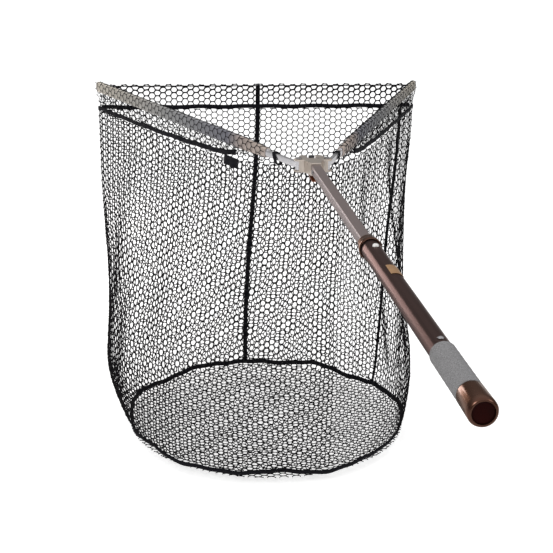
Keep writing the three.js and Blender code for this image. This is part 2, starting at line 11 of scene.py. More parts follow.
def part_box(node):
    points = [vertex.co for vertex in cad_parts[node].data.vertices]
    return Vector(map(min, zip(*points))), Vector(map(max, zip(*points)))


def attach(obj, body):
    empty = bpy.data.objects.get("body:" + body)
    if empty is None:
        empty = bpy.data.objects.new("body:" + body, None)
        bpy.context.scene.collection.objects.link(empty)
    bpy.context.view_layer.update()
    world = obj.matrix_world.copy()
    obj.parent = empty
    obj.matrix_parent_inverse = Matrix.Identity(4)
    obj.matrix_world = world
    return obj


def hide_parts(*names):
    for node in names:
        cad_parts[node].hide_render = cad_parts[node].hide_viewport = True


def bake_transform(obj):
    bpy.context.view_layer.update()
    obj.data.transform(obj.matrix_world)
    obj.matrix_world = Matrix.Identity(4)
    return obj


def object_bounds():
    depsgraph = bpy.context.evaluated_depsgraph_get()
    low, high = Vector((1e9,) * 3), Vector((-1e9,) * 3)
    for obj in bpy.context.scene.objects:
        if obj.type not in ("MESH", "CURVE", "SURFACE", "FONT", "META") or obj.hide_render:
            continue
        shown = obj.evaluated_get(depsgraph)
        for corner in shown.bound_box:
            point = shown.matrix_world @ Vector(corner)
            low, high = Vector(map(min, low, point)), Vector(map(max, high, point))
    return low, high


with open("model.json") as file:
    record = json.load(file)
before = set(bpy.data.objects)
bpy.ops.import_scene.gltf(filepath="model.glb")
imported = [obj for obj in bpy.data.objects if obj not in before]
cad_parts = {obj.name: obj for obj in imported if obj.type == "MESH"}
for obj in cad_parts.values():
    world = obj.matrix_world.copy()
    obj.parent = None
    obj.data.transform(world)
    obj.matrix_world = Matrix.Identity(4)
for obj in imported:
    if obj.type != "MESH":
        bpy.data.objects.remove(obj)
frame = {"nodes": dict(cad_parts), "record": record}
CAD_BOUNDS = [list(corner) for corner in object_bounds()]
SKY_LOW, SKY_TOP, FLOOR_GLOW = 0.22, 1.0, 0.5  # what lights the net from low down, from above, and the floor

# ------------------------------------------------------------------ places, from the CAD
SLOT_OF = {entry["node"]: entry["material_slot"] for entry in frame["record"]["subparts"]}
BODY_OF = {n: b for b, nodes in frame["record"]["behaviour"]["bodies"].items() for n in nodes}
JOINT = {joint["name"]: joint for joint in frame["record"]["behaviour"]["joints"]}

HINGE_Y = JOINT["arm_right_hinge"]["pos_m"][1]
ring_lo, ring_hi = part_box("ring_tape")
RING_X = (ring_lo.x + ring_hi.x) / 2
RING_Y = (ring_lo.y + ring_hi.y) / 2
RING_Z = (ring_lo.z + ring_hi.z) / 2
RING_R = (ring_hi.x - ring_lo.x) / 2 - 0.003
cord_lo, cord_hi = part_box("tip_cord")
TIP = Vector((cord_hi.x + 0.009, (cord_lo.y + cord_hi.y) / 2))
WALL_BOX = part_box("net_wall")
HEM_TAPE_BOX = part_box("hem_tape")
FLOOR_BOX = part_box("net_floor")

ELBOW = Vector((0.050, HINGE_Y + 0.072))
ARM_DIR = (TIP - ELBOW).normalized()
ARM_LEN = (TIP - ELBOW).length
TAPE_H = HEM_TAPE_BOX[1].z - HEM_TAPE_BOX[0].z
TAIL_TIP = -HEM_TAPE_BOX[1].z
TAIL_ROOT = 0.013
ARM_HALF_H = 0.010
TAPE_START = 0.112
GAP = 0.0003

# netting: its pitch down and across, how far a thread runs on into its knots in knot radii, and the radii of
# its threads in the middle and at the knots
CELL_H = 0.012
CELL_W = 0.0104
SLEEVE_CELL_W = 0.0135
OVERLAP = 0.4
WALL_THREAD = (0.00092, 0.00145)
SIDE_THREAD = (0.00060, 0.00100)
FLOOR_THREAD = (0.00072, 0.00122)
SLEEVE_THREAD = (0.00045, 0.0008)
HEM_THREAD = (0.00105, 0.00165)
SLEEVE_R, SLEEVE_CROWN = 0.0062, 0.0050
HEM_R = 0.0036
TAPE_T = 0.0022
WALL_FAR_Z = -TAIL_TIP - TAPE_H - 2 * GAP
WALL_NEAR_Z = WALL_BOX[1].z
WALL_LOW_Z = WALL_BOX[0].z


# ------------------------------------------------------------------ materials
def node(tree, kind, **settings):
    made = tree.nodes.new(kind)
    for key, value in settings.items():
        if key in made.inputs:
            made.inputs[key].default_value = value
        else:
            setattr(made, key, value)
    return made


def material(name, colour, roughness=0.5, metallic=0.0, spread=0.12, scale=60.0, bump=0.1, grain=900.0,
             stretch=(1, 1, 1), rough_spread=0.08, coat=0.0, specular=0.5, tint=(1, 1, 1)):
    """A principled finish whose colour, roughness and relief vary over the surface."""
    made = bpy.data.materials.new(name)
    made.use_nodes = True
    tree = made.node_tree
    shader = tree.nodes["Principled BSDF"]
    shader.inputs["Metallic"].default_value = metallic
    shader.inputs["Coat Weight"].default_value = coat
    shader.inputs["Coat Roughness"].default_value = 0.15
    shader.inputs["Specular IOR Level"].default_value = specular
    shader.inputs["Specular Tint"].default_value = (*tint, 1)
    where = node(tree, "ShaderNodeTexCoord")
    mapping = node(tree, "ShaderNodeMapping")
    mapping.inputs["Scale"].default_value = stretch
    tree.links.new(where.outputs["Object"], mapping.inputs["Vector"])
    clouds = node(tree, "ShaderNodeTexNoise", Scale=scale, Detail=4.0)
    tree.links.new(mapping.outputs["Vector"], clouds.inputs["Vector"])
    ramp = node(tree, "ShaderNodeValToRGB")
    low = [max(c * (1 - spread), 0) for c in colour]
    high = [min(c * (1 + spread), 1) for c in colour]
    ramp.color_ramp.elements[0].position = 0.3
    ramp.color_ramp.elements[0].color = (*low, 1)
    ramp.color_ramp.elements[1].position = 0.7
    ramp.color_ramp.elements[1].color = (*high, 1)
    tree.links.new(clouds.outputs["Fac"], ramp.inputs["Fac"])
    tree.links.new(ramp.outputs["Color"], shader.inputs["Base Color"])
    spreader = node(tree, "ShaderNodeMapRange")
    spreader.inputs["To Min"].default_value = max(roughness - rough_spread, 0.02)
    spreader.inputs["To Max"].default_value = min(roughness + rough_spread, 1.0)
    tree.links.new(clouds.outputs["Fac"], spreader.inputs["Value"])
    tree.links.new(spreader.outputs["Result"], shader.inputs["Roughness"])
    fine = node(tree, "ShaderNodeTexNoise", Scale=grain, Detail=2.0)
    tree.links.new(mapping.outputs["Vector"], fine.inputs["Vector"])
    relief = node(tree, "ShaderNodeBump", Strength=bump, Distance=0.0004)
    tree.links.new(fine.outputs["Fac"], relief.inputs["Height"])
    tree.links.new(relief.outputs["Normal"], shader.inputs["Normal"])
    return made


def woven(name, colour, pitch=1500.0, bump=0.6, spread=0.35):
    """A flat woven tape: crossed threads over a dark ground."""
    made = material(name, colour, roughness=0.85, spread=spread, scale=300, bump=0.2, specular=0.2)
    tree = made.node_tree
    shader = tree.nodes["Principled BSDF"]
    where = next(n for n in tree.nodes if n.bl_idname == "ShaderNodeTexCoord")
    waves = []
    for direction in ("X", "Z"):
        wave = node(tree, "ShaderNodeTexWave", Scale=pitch / 6.0, Distortion=0.6)
        wave.bands_direction = direction
        tree.links.new(where.outputs["Object"], wave.inputs["Vector"])
        waves.append(wave)
    mixed = node(tree, "ShaderNodeMath", operation="MAXIMUM")
    for wave, socket in zip(waves, mixed.inputs):
        tree.links.new(wave.outputs["Fac"], socket)
    relief = node(tree, "ShaderNodeBump", Strength=bump, Distance=0.0005)
    tree.links.new(mixed.outputs["Value"], relief.inputs["Height"])
    tree.links.new(relief.outputs["Normal"], shader.inputs["Normal"])
    return made


# painted shade and painted highlight along the arms from yoke to tip: (place, colour)
ARM_PAINTED_LIGHT = [(0.0, (0.60, 0.50, 0.44)), (0.10, (0.52, 0.43, 0.39)), (0.17, (0.22, 0.22, 0.26)),
             (0.50, (0.42, 0.42, 0.42)), (1.0, (0.80, 0.73, 0.62))]


def painted_light_along_y(made, near_y, far_y, tones):
    """Paints light and shade into a finish's colour along +Y through a row of tones."""
    tree = made.node_tree
    shader = tree.nodes["Principled BSDF"]
    varied = shader.inputs["Base Color"].links[0].from_socket
    where = next(n for n in tree.nodes if n.bl_idname == "ShaderNodeTexCoord")
    split = node(tree, "ShaderNodeSeparateXYZ")
    tree.links.new(where.outputs["Object"], split.inputs["Vector"])
    place = node(tree, "ShaderNodeMapRange")
    place.inputs["From Min"].default_value = near_y
    place.inputs["From Max"].default_value = far_y
    tree.links.new(split.outputs["Y"], place.inputs["Value"])
    ramp = node(tree, "ShaderNodeValToRGB")
    elements = ramp.color_ramp.elements
    while len(elements) < len(tones):
        elements.new(0.5)
    for element, (at, tone) in zip(elements, tones):
        element.position = at
        element.color = (*tone, 1)
    tree.links.new(place.outputs["Result"], ramp.inputs["Fac"])
    product = node(tree, "ShaderNodeVectorMath", operation="MULTIPLY")
    tree.links.new(varied, product.inputs[0])
    tree.links.new(ramp.outputs["Color"], product.inputs[1])
    tree.links.new(product.outputs["Vector"], shader.inputs["Base Color"])


MATERIALS = {
    "bronze_tube": material("bronze_tube", (0.078, 0.052, 0.048), 0.30, 0.85, stretch=(1, 0.05, 1),
                            scale=120, spread=0.06, bump=0.008, rough_spread=0.02, tint=(0.66, 0.56, 0.54)),
    "taupe_tube": material("taupe_tube", (0.215, 0.168, 0.162), 0.40, 0.55, stretch=(1, 0.04, 1),
                           scale=160, spread=0.07, bump=0.06),
    "copper": material("copper", (0.070, 0.027, 0.015), 0.26, 0.85, scale=45, spread=0.15, bump=0.015,
                       rough_spread=0.04, coat=0.35, tint=(0.75, 0.55, 0.45)),
    "champagne": material("champagne", (0.56, 0.49, 0.43), 0.30, 0.8, scale=70, spread=0.07, bump=0.06),
    "arm_champagne": material("arm_champagne", (0.9, 0.9, 0.9), 0.42, 0.35, stretch=(1, 0.1, 1),
                              scale=90, spread=0.08, bump=0.05),
    "silver": material("silver", (0.66, 0.65, 0.67), 0.24, 0.85, scale=60, spread=0.06, bump=0.06),
    "steel": material("steel", (0.36, 0.35, 0.36), 0.3, 0.95, scale=90, spread=0.08, bump=0.05),
    "black_plastic": material("black_plastic", (0.010, 0.009, 0.012), 0.5, 0.0, scale=90, spread=0.3,
                              bump=0.15),
    "white_plastic": material("white_plastic", (0.86, 0.85, 0.83), 0.3, 0.0, scale=50, spread=0.02,
                              bump=0.03, coat=0.3),
    "foam": material("foam", (0.225, 0.222, 0.226), 0.92, 0.0, scale=1100, spread=0.42, bump=0.9,
                     grain=1500, specular=0.25),
    "label": material("label", (0.36, 0.20, 0.09), 0.45, 0.2, scale=80, spread=0.10, bump=0.05),
    "lever_bronze": material("lever_bronze", (0.22, 0.050, 0.012), 0.3, 0.6, scale=80, spread=0.15,
                             bump=0.05),
    "end_disc": material("end_disc", (0.016, 0.0016, 0.0012), 0.35, 0.0, scale=60, spread=0.25, bump=0.04,
                         specular=0.04),
    "mesh": material("mesh", (0.0048, 0.0042, 0.0055), 0.75, 0.0, scale=500, spread=0.35, bump=0.35,
                     grain=2500, specular=0.18),
    "tape": woven("tape", (0.0030, 0.0030, 0.0060)),
    "cord": woven("cord", (0.006, 0.006, 0.008), pitch=2400.0),
}
# painted shade and painted highlight on the arms: a dark band near the yoke, paler towards the tips
painted_light_along_y(MATERIALS["arm_champagne"], HINGE_Y + 0.09, TIP.y, ARM_PAINTED_LIGHT)


# ------------------------------------------------------------------ mesh helpers
def placed(name, mesh, finish):
    """An object in the scene from a mesh, with one finish."""
    made = bpy.data.objects.new(name, mesh)
    bpy.context.scene.collection.objects.link(made)
    made.data.materials.clear()
    made.data.materials.append(MATERIALS[finish])
    return made


def mesh_object(name, points, faces, finish, weld=False):
    """A smooth mesh from points and faces, with its faces turned outward."""
    mesh = bpy.data.meshes.new(name)
    mesh.from_pydata([tuple(p) for p in points], [], [tuple(f) for f in faces])
    mesh.update()
    work = bmesh.new()
    work.from_mesh(mesh)
    if weld:
        bmesh.ops.remove_doubles(work, verts=work.verts, dist=1e-7)
    bmesh.ops.recalc_face_normals(work, faces=work.faces)
    work.to_mesh(mesh)
    work.free()
    mesh.shade_smooth()
    return placed(name, mesh, finish)


def cad_mesh(name):
    """A copy of a CAD node's own mesh, in the row frame."""
    source = frame["nodes"][name]
    mesh = source.data.copy()
    mesh.transform(source.matrix_world)
    return mesh


def finished(obj, slot, body, *nodes):
    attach(obj, body)
    if nodes:
        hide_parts(*nodes)
    return obj


def refined(name, width=0.0004, segments=2, angle=0.6, bends_to=None):
    """A CAD node's own shape with its flats merged, its edges rounded and its turned faces smooth.

    With bends_to, its node is hidden and it is baked into the row frame, on no body.
    """
    mesh = cad_mesh(name)
    work = bmesh.new()
    work.from_mesh(mesh)
    bmesh.ops.remove_doubles(work, verts=work.verts, dist=1e-6)
    bmesh.ops.dissolve_limit(work, angle_limit=0.01, verts=work.verts, edges=work.edges)
    sharp = [e for e in work.edges if len(e.link_faces) == 2 and e.calc_face_angle(0) > angle]
    shortest = min((e.calc_length() for e in sharp), default=1)
    work.to_mesh(mesh)
    work.free()
    made = placed(name + "_look", mesh, "arm_champagne" if name.startswith("arm_tube") else SLOT_OF[name])
    bevel = made.modifiers.new("rounding", "BEVEL")
    bevel.width = min(width, shortest * 0.45 + 1e-5)
    bevel.segments = segments
    bevel.limit_method = "ANGLE"
    bevel.angle_limit = angle
    bevel.use_clamp_overlap = True
    bevel.harden_normals = True
    made.data.shade_smooth()
    made.data.set_sharp_from_angle(angle=angle + 0.05)
    bpy.context.view_layer.update()
    graph = bpy.context.evaluated_depsgraph_get()
    applied = bpy.data.meshes.new_from_object(made.evaluated_get(graph))
    made.modifiers.clear()
    made.data = applied
    if bends_to is None:
        return finished(made, SLOT_OF[name], BODY_OF[name], name)
    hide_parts(name)
    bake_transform(made)
    return made


def strands(starts, ends, thin, thick):
    """Closed three-sided threads from start to end, thin in the middle and thick at the knots."""
    along = ends - starts
    length = np.linalg.norm(along, axis=1, keepdims=True)
    along /= np.maximum(length, 1e-9)
    side = np.cross(along, np.where(np.abs(along[:, 2:]) > 0.9, [[1.0, 0, 0]], [[0, 0, 1.0]]))
    side /= np.linalg.norm(side, axis=1, keepdims=True)
    up = np.cross(side, along)
    rings = []
    middle = (starts + ends) / 2
    past = along * thick * OVERLAP
    for centre, radius in ((starts - past, thick), (middle, thin), (ends + past, thick)):
        for k in range(3):
            a = k * math.tau / 3 + 0.5
            rings.append(centre + radius * (math.cos(a) * side + math.sin(a) * up))
    points = np.stack(rings, axis=1).reshape(-1, 3)
    faces = []
    for ring in (0, 3):
        for k in range(3):
            n = (k + 1) % 3
            faces.append((ring + k, ring + n, ring + 3 + n))
            faces.append((ring + k, ring + 3 + n, ring + 3 + k))
    faces += [(0, 2, 1), (6, 7, 8)]
    faces = np.array(faces)
    everything = (np.arange(len(starts))[:, None, None] * 9 + faces[None]).reshape(-1, 3)
    return points, everything


def lattice_object(name, starts, ends, thread):
    """Netting as one mesh of closed threads, each with its own radii in the middle and at the knots."""
    points, faces = strands(np.asarray(starts), np.asarray(ends), *thread)
    mesh = bpy.data.meshes.new(name)
    mesh.vertices.add(len(points))
    mesh.vertices.foreach_set("co", points.ravel())
    mesh.loops.add(len(faces) * 3)
    mesh.loops.foreach_set("vertex_index", faces.ravel())
    mesh.polygons.add(len(faces))
    mesh.polygons.foreach_set("loop_start", np.arange(0, len(faces) * 3, 3))
    mesh.update(calc_edges=True)
    mesh.shade_smooth()
    return placed(name, mesh, "mesh")


def honeycomb(columns, rows, closed):
    """Edges of a flat-topped honeycomb as pairs of (column line, row) places, each place (u, v) in cells."""
    edges = []
    last = columns if closed else columns - 1
    for c in range(columns):
        lift = 0.5 * (c % 2)
        for r in range(rows + 1):
            edges.append(((c - 1 / 3, r + lift), (c + 1 / 3, r + lift)))
        if c < last:
            step = 0.5 if c % 2 == 0 else -0.5
            for r in range(rows + 1):
                here = (c + 1 / 3, r + lift)
                edges.append((here, (c + 2 / 3, r + lift + step)))
                edges.append((here, (c + 2 / 3, r + lift - step)))
    return edges


def lathe(name, profile, slot, sides=72):
    """A turned piece about the handle's axis, from a closed outline of (radius, y)."""
    points, faces = [], []
    count = len(profile)
    for s in range(sides):
        a = s * math.tau / sides
        for r, y in profile:
            points.append((r * math.sin(a), y, r * math.cos(a)))
    for s in range(sides):
        n = (s + 1) % sides
        for k in range(count):
            m = (k + 1) % count
            faces.append((s * count + k, s * count + m, n * count + m, n * count + k))
    made = mesh_object(name, points, faces, slot, weld=True)
    made.data.set_sharp_from_angle(angle=0.7)
    return made


def ribbon(name, centres, outs, ups, width, thickness, closed=False, edge=0.35):
    """A flat tape with rounded edges along a line: width along ups, thickness along outs."""
    section = [(-0.5, -0.5 + edge), (-0.42, -0.5), (0.42, -0.5), (0.5, -0.5 + edge),
               (0.5, 0.5 - edge), (0.42, 0.5), (0.0, 0.62), (-0.42, 0.5), (-0.5, 0.5 - edge)]
    points, faces = [], []
    count = len(section)
    for centre, out, up in zip(centres, outs, ups):
        for w, t in section:
            points.append(Vector(centre) + Vector(up) * (w * width) + Vector(out) * (t * thickness))
    total = len(centres)
    for s in range(total if closed else total - 1):
        n = (s + 1) % total
        for k in range(count):
            m = (k + 1) % count
            faces.append((s * count + k, s * count + m, n * count + m, n * count + k))
    if not closed:
        faces.append(tuple(range(count)))
        faces.append(tuple(range((total - 1) * count, total * count))[::-1])
    return mesh_object(name, points, faces, "tape")


def smoothstep(t):
    t = np.clip(t, 0, 1)
    return t * t * (3 - 2 * t)


# ------------------------------------------------------------------ the bag's shape
CORNER_U = 0.36
APEX_U = 0.06
APEX_X = 0.058  # the mouth's near corners, and how far the wall stands out below them and below the tips
APEX_LOW_X = 0.105
CORNER_LOW_X = 0.262
# mouth outline and turn round the ring in degrees, against u: 0 at the yoke, by the right tip, the far side
# and the left tip back to 1
U_MARKS = [0, APEX_U, CORNER_U, 0.5, 1 - CORNER_U, 1 - APEX_U, 1]
MOUTH_X = [0, APEX_X, TIP.x, 0, -TIP.x, -APEX_X, 0]
MOUTH_Y = [HINGE_Y + 0.076, HINGE_Y + 0.088, TIP.y, TIP.y, TIP.y, HINGE_Y + 0.088, HINGE_Y + 0.076]
TURN_U = [0, CORNER_U, 0.5, 1 - CORNER_U, 1]
TURN = [-90, 22, 93, 158, 270]
BAG_R = 0.252
SEAM_SAG = 0.006
LEFT_CORNER_OUT = 0.042
RIGHT_CORNER_OUT = 0.006


def wall_points(u, s, outward=0.0):
    """Places on the bag's wall, as arrays: u round it from 0 to 1, s down it from 0 to 1."""
    u = np.asarray(u, float)
    u = np.where(u > 1, u - 1, np.where(u < 0, u + 1, u))
    s = np.asarray(s, float)
    mouth = np.stack([np.interp(u, U_MARKS, MOUTH_X), np.interp(u, U_MARKS, MOUTH_Y)], 1)
    turn = np.interp(u, TURN_U, TURN)
    angle = np.radians(turn)
    direction = np.stack([np.cos(angle), np.sin(angle)], 1)
    centre = np.array([RING_X, RING_Y])
    reach = BAG_R + RIGHT_CORNER_OUT * np.exp(-((turn - TURN[1]) / 28) ** 2)
    reach = reach + LEFT_CORNER_OUT * np.exp(-((turn - TURN[3]) / 28) ** 2)
    full = centre + direction * reach[:, None]
    tuck = np.clip((s - 0.8) / 0.2, 0, 1)
    k = (1 - np.sqrt(1 - 0.98 * tuck**2))[:, None]
    p = mouth + (full - mouth) * smoothstep(s / 0.88)[:, None]
    p = p + (centre + direction * RING_R - p) * k
    middle = np.stack([RING_X * s, HINGE_Y + 0.43 + (RING_Y - HINGE_Y - 0.43) * s], 1)
    away = p - middle
    away /= np.linalg.norm(away, axis=1, keepdims=True)
    # soft folds: the mesh hangs in shallow waves that die out at its seams
    free = np.sin(np.clip(s, 0, 1) * math.pi) ** 0.8
    far = np.clip(1 - np.abs(u - 0.5) / 0.16, 0, 1)  # the far panel hangs flat
    folds = 0.0024 * np.sin(u * 61 + 1.3 * np.sin(s * 5.0)) + 0.0010 * np.sin(u * 113 + s * 7.0)
    folds = folds * (1 + 1.2 * np.exp(-((u - 0.2) / 0.12) ** 2))  # deeper on the right
    folds = folds * (1 - 0.75 * far) + 0.0024 * np.sin(s * 11.0 + u * 17.0)
    outward = outward + folds * free
    p = p + away * np.broadcast_to(outward, s.shape)[:, None]
    near = np.clip(np.minimum(u, 1 - u) / CORNER_U, 0, 1)
    top = WALL_NEAR_Z + (WALL_FAR_Z - WALL_NEAR_Z) * near
    on_arm = np.clip((np.minimum(u, 1 - u) - APEX_U) / (CORNER_U - APEX_U), 0, 1)
    top = top - SEAM_SAG * np.sin(math.pi * on_arm) + 0.009 * (1 - smoothstep(on_arm / 0.2))
    z = top + (WALL_LOW_Z - top) * s
    return np.stack([p[:, 0], p[:, 1], z], 1)


def mirror_side(side):
    return -1 if side == "left" else 1


TOP_Z = WALL_FAR_Z  # the wall's top at its far side
STILL_Z = WALL_LOW_Z + 0.03  # 3 cm above the wall's bottom


def blend_by(obj, side, across, down):
    """Bakes obj's placement into its mesh; across and down are not used."""
    s = mirror_side(side)
    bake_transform(obj)


DEPTH = TOP_Z - STILL_Z


def corner_down(top_x, low_x):
    """DEPTH scaled by top_x over low_x: a panel's fall, as given to blend_by."""
    return DEPTH * top_x / low_x


def build_wall():
    """The bag's wall in six panels."""
    rows, side_columns, far_columns = 42, 60, 58
    columns = 2 * side_columns + far_columns
    column_marks = [-1, 0, side_columns, columns - side_columns, columns, columns + 1]
    to_u = lambda c: np.interp(c, column_marks, [-0.006, 0, CORNER_U, 1 - CORNER_U, 1, 1.006])
    edges = honeycomb(columns, rows, closed=True)
    a = np.array([e[0] for e in edges])
    b = np.array([e[1] for e in edges])
    a[:, 1] = np.clip(a[:, 1] / (rows + 0.5), 0, 1)
    b[:, 1] = np.clip(b[:, 1] / (rows + 0.5), 0, 1)
    middle = np.mod(to_u((a[:, 0] + b[:, 0]) / 2), 1.0)
    a[:, 0] = to_u(a[:, 0])
    b[:, 0] = to_u(b[:, 0])
    pa, pb = wall_points(a[:, 0], a[:, 1]), wall_points(b[:, 0], b[:, 1])
    jitter = lambda q: q + 0.0004 * np.stack([np.sin(q[:, 1] * 2111 + q[:, 2] * 1733),
                                              np.sin(q[:, 0] * 1931 + q[:, 2] * 2477),
                                              np.sin(q[:, 0] * 2789 + q[:, 1] * 1511)], 1)
    pa, pb = jitter(pa), jitter(pb)
    long_enough = np.linalg.norm(pa - pb, axis=1) > 0.0008
    panels = {
        "net_front_right": (0.0, APEX_U),
        "net_side_right": (APEX_U, CORNER_U),
        "net_back_right": (CORNER_U, 0.5),
        "net_back_left": (0.5, 1 - CORNER_U),
        "net_side_left": (1 - CORNER_U, 1 - APEX_U),
        "net_front_left": (1 - APEX_U, 1.0),
    }
    for name, (u0, u1) in panels.items():
        inside = (middle >= u0) & (middle < u1) & long_enough
        thread = SIDE_THREAD if name == "net_side_right" else WALL_THREAD
        panel = lattice_object(name, pa[inside], pb[inside], thread)
        side = name.rsplit("_", 1)[1]
        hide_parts("net_wall")
        if "side" in name:
            blend_by(panel, side, None, DEPTH)
        elif "back" in name:
            blend_by(panel, side, TIP.x, corner_down(TIP.x, CORNER_LOW_X))
        else:
            blend_by(panel, side, APEX_X, corner_down(APEX_X, APEX_LOW_X))


def floor_height(x, y):
    r = np.minimum(np.hypot(x - RING_X, y - RING_Y) / RING_R, 1.0)
    top = FLOOR_BOX[1].z
    sag = FLOOR_BOX[1].z - FLOOR_BOX[0].z - 0.001
    ripple = 0.0025 * np.sin(x * 31 + y * 17) * (1 - r**2) + 0.002 * np.sin(x * 57 - y * 41) * (1 - r**2)
    return top - 0.001 - sag * (1 - r**2) + np.maximum(ripple, -0.001)


def build_floor():
    """The bag's floor: netting cut round to the ring."""
    n = int(RING_R / CELL_W) + 2
    starts, ends = [], []
    for (u0, v0), (u1, v1) in honeycomb(2 * n, int(2 * RING_R / CELL_H) + 2, closed=False):
        p = (RING_X + (u0 - n) * CELL_W, RING_Y - RING_R - CELL_H + v0 * CELL_H)
        q = (RING_X + (u1 - n) * CELL_W, RING_Y - RING_R - CELL_H + v1 * CELL_H)
        inside = [math.hypot(x - RING_X, y - RING_Y) < RING_R for x, y in (p, q)]
        if not any(inside):
            continue
        if not all(inside):
            fixed = []
            for x, y in (p, q):
                r = math.hypot(x - RING_X, y - RING_Y)
                k = min(1.0, RING_R / r)
                fixed.append((RING_X + (x - RING_X) * k, RING_Y + (y - RING_Y) * k))
            p, q = fixed
        if math.dist(p, q) < 0.0008:
            continue
        starts.append(p)
        ends.append(q)
    a, b = np.array(starts), np.array(ends)
    pa = np.column_stack([a, floor_height(a[:, 0], a[:, 1])])
    pb = np.column_stack([b, floor_height(b[:, 0], b[:, 1])])
    mesh = finished(lattice_object("net_floor_mesh", pa, pb, FLOOR_THREAD), "mesh", "extension", "net_floor")


# ------------------------------------------------------------------ sleeves, hem and tapes
def arm_place(along, out, up, side):
    """A place on an arm's own axes: along it, outward from it and up."""
    x = ELBOW.x + ARM_DIR.x * along + ARM_DIR.y * out
    y = ELBOW.y + ARM_DIR.y * along - ARM_DIR.x * out
    return np.stack([mirror_side(side) * x, y, up], 1)


def tail_at(along):
    """Depth of the sleeve's seam below the arm: deeper to the tip, with a slight sag between."""
    t = np.clip(along / ARM_LEN, 0, 1)
    return TAIL_ROOT + (TAIL_TIP - TAIL_ROOT) * t + SEAM_SAG * np.sin(math.pi * t)


def arm_height(along):
    """The arm's height at a distance from the elbow, as a share of its full height."""
    return 0.72 + 0.28 * smoothstep((along - 0.010) / 0.070)


def folded(d, tail, radius, crown, gape):
    """Sideways and upward offsets of mesh folded over a bar, at a distance d over it from its crest.

    The bar is as wide as twice the radius and stands crown above and below its middle.
    """
    over = math.pi * radius / 2
    turn = np.clip(d / radius, -math.pi / 2, math.pi / 2)
    fall = np.clip(np.abs(d) - over, 0, tail + crown)
    below = np.clip((fall - 2 * crown) / np.maximum(tail - crown, 1e-6), 0, 1)
    out = radius * np.sin(turn) * (1 - smoothstep(below * 1.3) * (1 - gape))
    return out, crown + radius * np.cos(turn) - fall


def hem_edges(length, tail_of, radius, crown, gape, place, cell_w=CELL_W):
    """Lattice edges of mesh folded over a bar: whole cells from its crest, cut off at its two seams."""
    columns, rows = round(length / cell_w), 12
    pairs, beyond = [], []
    for end in (0, 1):
        uv = np.array([e[end] for e in honeycomb(columns, rows, closed=False)])
        along = np.clip((uv[:, 0] + 1 / 3) / (columns - 1 / 3), 0, 1) * length
        tail = tail_of(along)
        limit = tail + crown + math.pi * radius / 2
        d = (uv[:, 1] - rows / 2) * CELL_H
        beyond.append(np.sign(d) * (np.abs(d) >= limit))
        out, up = folded(np.clip(d, -limit, limit), tail, radius, crown, gape)
        pairs.append(place(along, out, up))
    keep = (np.linalg.norm(pairs[0] - pairs[1], axis=1) > 0.0008) & ((beyond[0] == 0) | (beyond[1] == 0))
    return pairs[0][keep], pairs[1][keep]


def build_sleeve(side):
    """An arm's mesh sleeve and the tape down its seam."""
    first, last = 0.014, ARM_LEN - 0.002

    def place(along, out, up):
        along = first + along
        ripple = 0.0008 * np.sin(along * 90) * (up < -0.012)
        fitted = np.where(up > -ARM_HALF_H, up * arm_height(along), up)
        return arm_place(along, out + ripple, fitted, side)

    starts, ends = hem_edges(last - first, lambda along: tail_at(first + along), SLEEVE_R, SLEEVE_CROWN, 0.12,
                             place, cell_w=SLEEVE_CELL_W)
    obj = lattice_object(f"sleeve_mesh_{side}", starts, ends, SLEEVE_THREAD)
    finished(obj, "mesh", "arm_" + side, "sleeve_" + side)

    # the seam's tape, slightly puckered between its stitches
    steps = 120
    along = np.linspace(TAPE_START, last - 0.002, steps)
    up = -tail_at(along) - GAP - TAPE_H / 2 + 0.005 * np.exp(-(along - TAPE_START) / 0.03)
    pucker = 0.0007 * np.sin(along * 260) + 0.0010 * np.sin(along * 61)
    centres = arm_place(along, 0.0004 * np.sin(along * 143), up + pucker * 0.5, side)
    s = mirror_side(side)
    out = Vector((s * ARM_DIR.y, -ARM_DIR.x, 0))
    tape = ribbon(f"mouth_tape_{side}_look", centres, [out] * steps, [Vector((0, 0, 1))] * steps,
                  TAPE_H, TAPE_T)
    finished(tape, "tape", "arm_" + side, "mouth_tape_" + side)


def build_hem():
    """Mesh folded over the tips' cord, its seam tape and the cord, in two halves."""
    half = TIP.x - 0.004
    for side in ("left", "right"):
        s = mirror_side(side)

        def place(along, out, up):
            scallop = 0.0018 * np.sin(along * 75) ** 2
            return np.stack([s * along, TIP.y - out, up - scallop * (up > -0.01)], 1)

        starts, ends = hem_edges(half, lambda along: np.full_like(along, TAIL_TIP), HEM_R, 0.0, 0.2, place)
        hem = lattice_object(f"far_hem_{side}", starts, ends, HEM_THREAD)
        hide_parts("far_hem")
        blend_by(hem, side, TIP.x, None)

        steps = 60
        x = np.linspace(0, half - 0.003, steps)
        z = (HEM_TAPE_BOX[0].z + HEM_TAPE_BOX[1].z) / 2 + 0.0008 * np.sin(x * 70)
        centres = np.stack([s * x, np.full(steps, TIP.y), z], 1)
        tape = ribbon(f"hem_tape_{side}", centres, [Vector((0, 1, 0))] * steps, [Vector((0, 0, 1))] * steps,
                      TAPE_H, TAPE_T)
        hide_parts("hem_tape")
        blend_by(tape, side, TIP.x, None)

        # braided cord: a tube with a twisting ridge
        around, points, faces = 10, [], []
        steps = 150
        for i in range(steps):
            at = cord_hi.x * i / (steps - 1)
            for k in range(around):
                a = k * math.tau / around
                r = 0.0011 + 0.0002 * math.cos(2 * (a + at * 900))
                points.append((s * at, TIP.y + r * math.cos(a), r * math.sin(a)))
        for i in range(steps - 1):
            for k in range(around):
                n = (k + 1) % around
                faces.append((i * around + k, i * around + n, (i + 1) * around + n, (i + 1) * around + k))
        faces.append(tuple(range(around)))
        faces.append(tuple(range((steps - 1) * around, steps * around)))
        cord = mesh_object(f"tip_cord_{side}", points, faces, "cord")
        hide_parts("tip_cord")
        line = [(s * cord_hi.x * (1 - i / 60), TIP.y, 0) for i in range(61)]
        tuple(line[0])
        blend_by(cord, side, TIP.x, None)


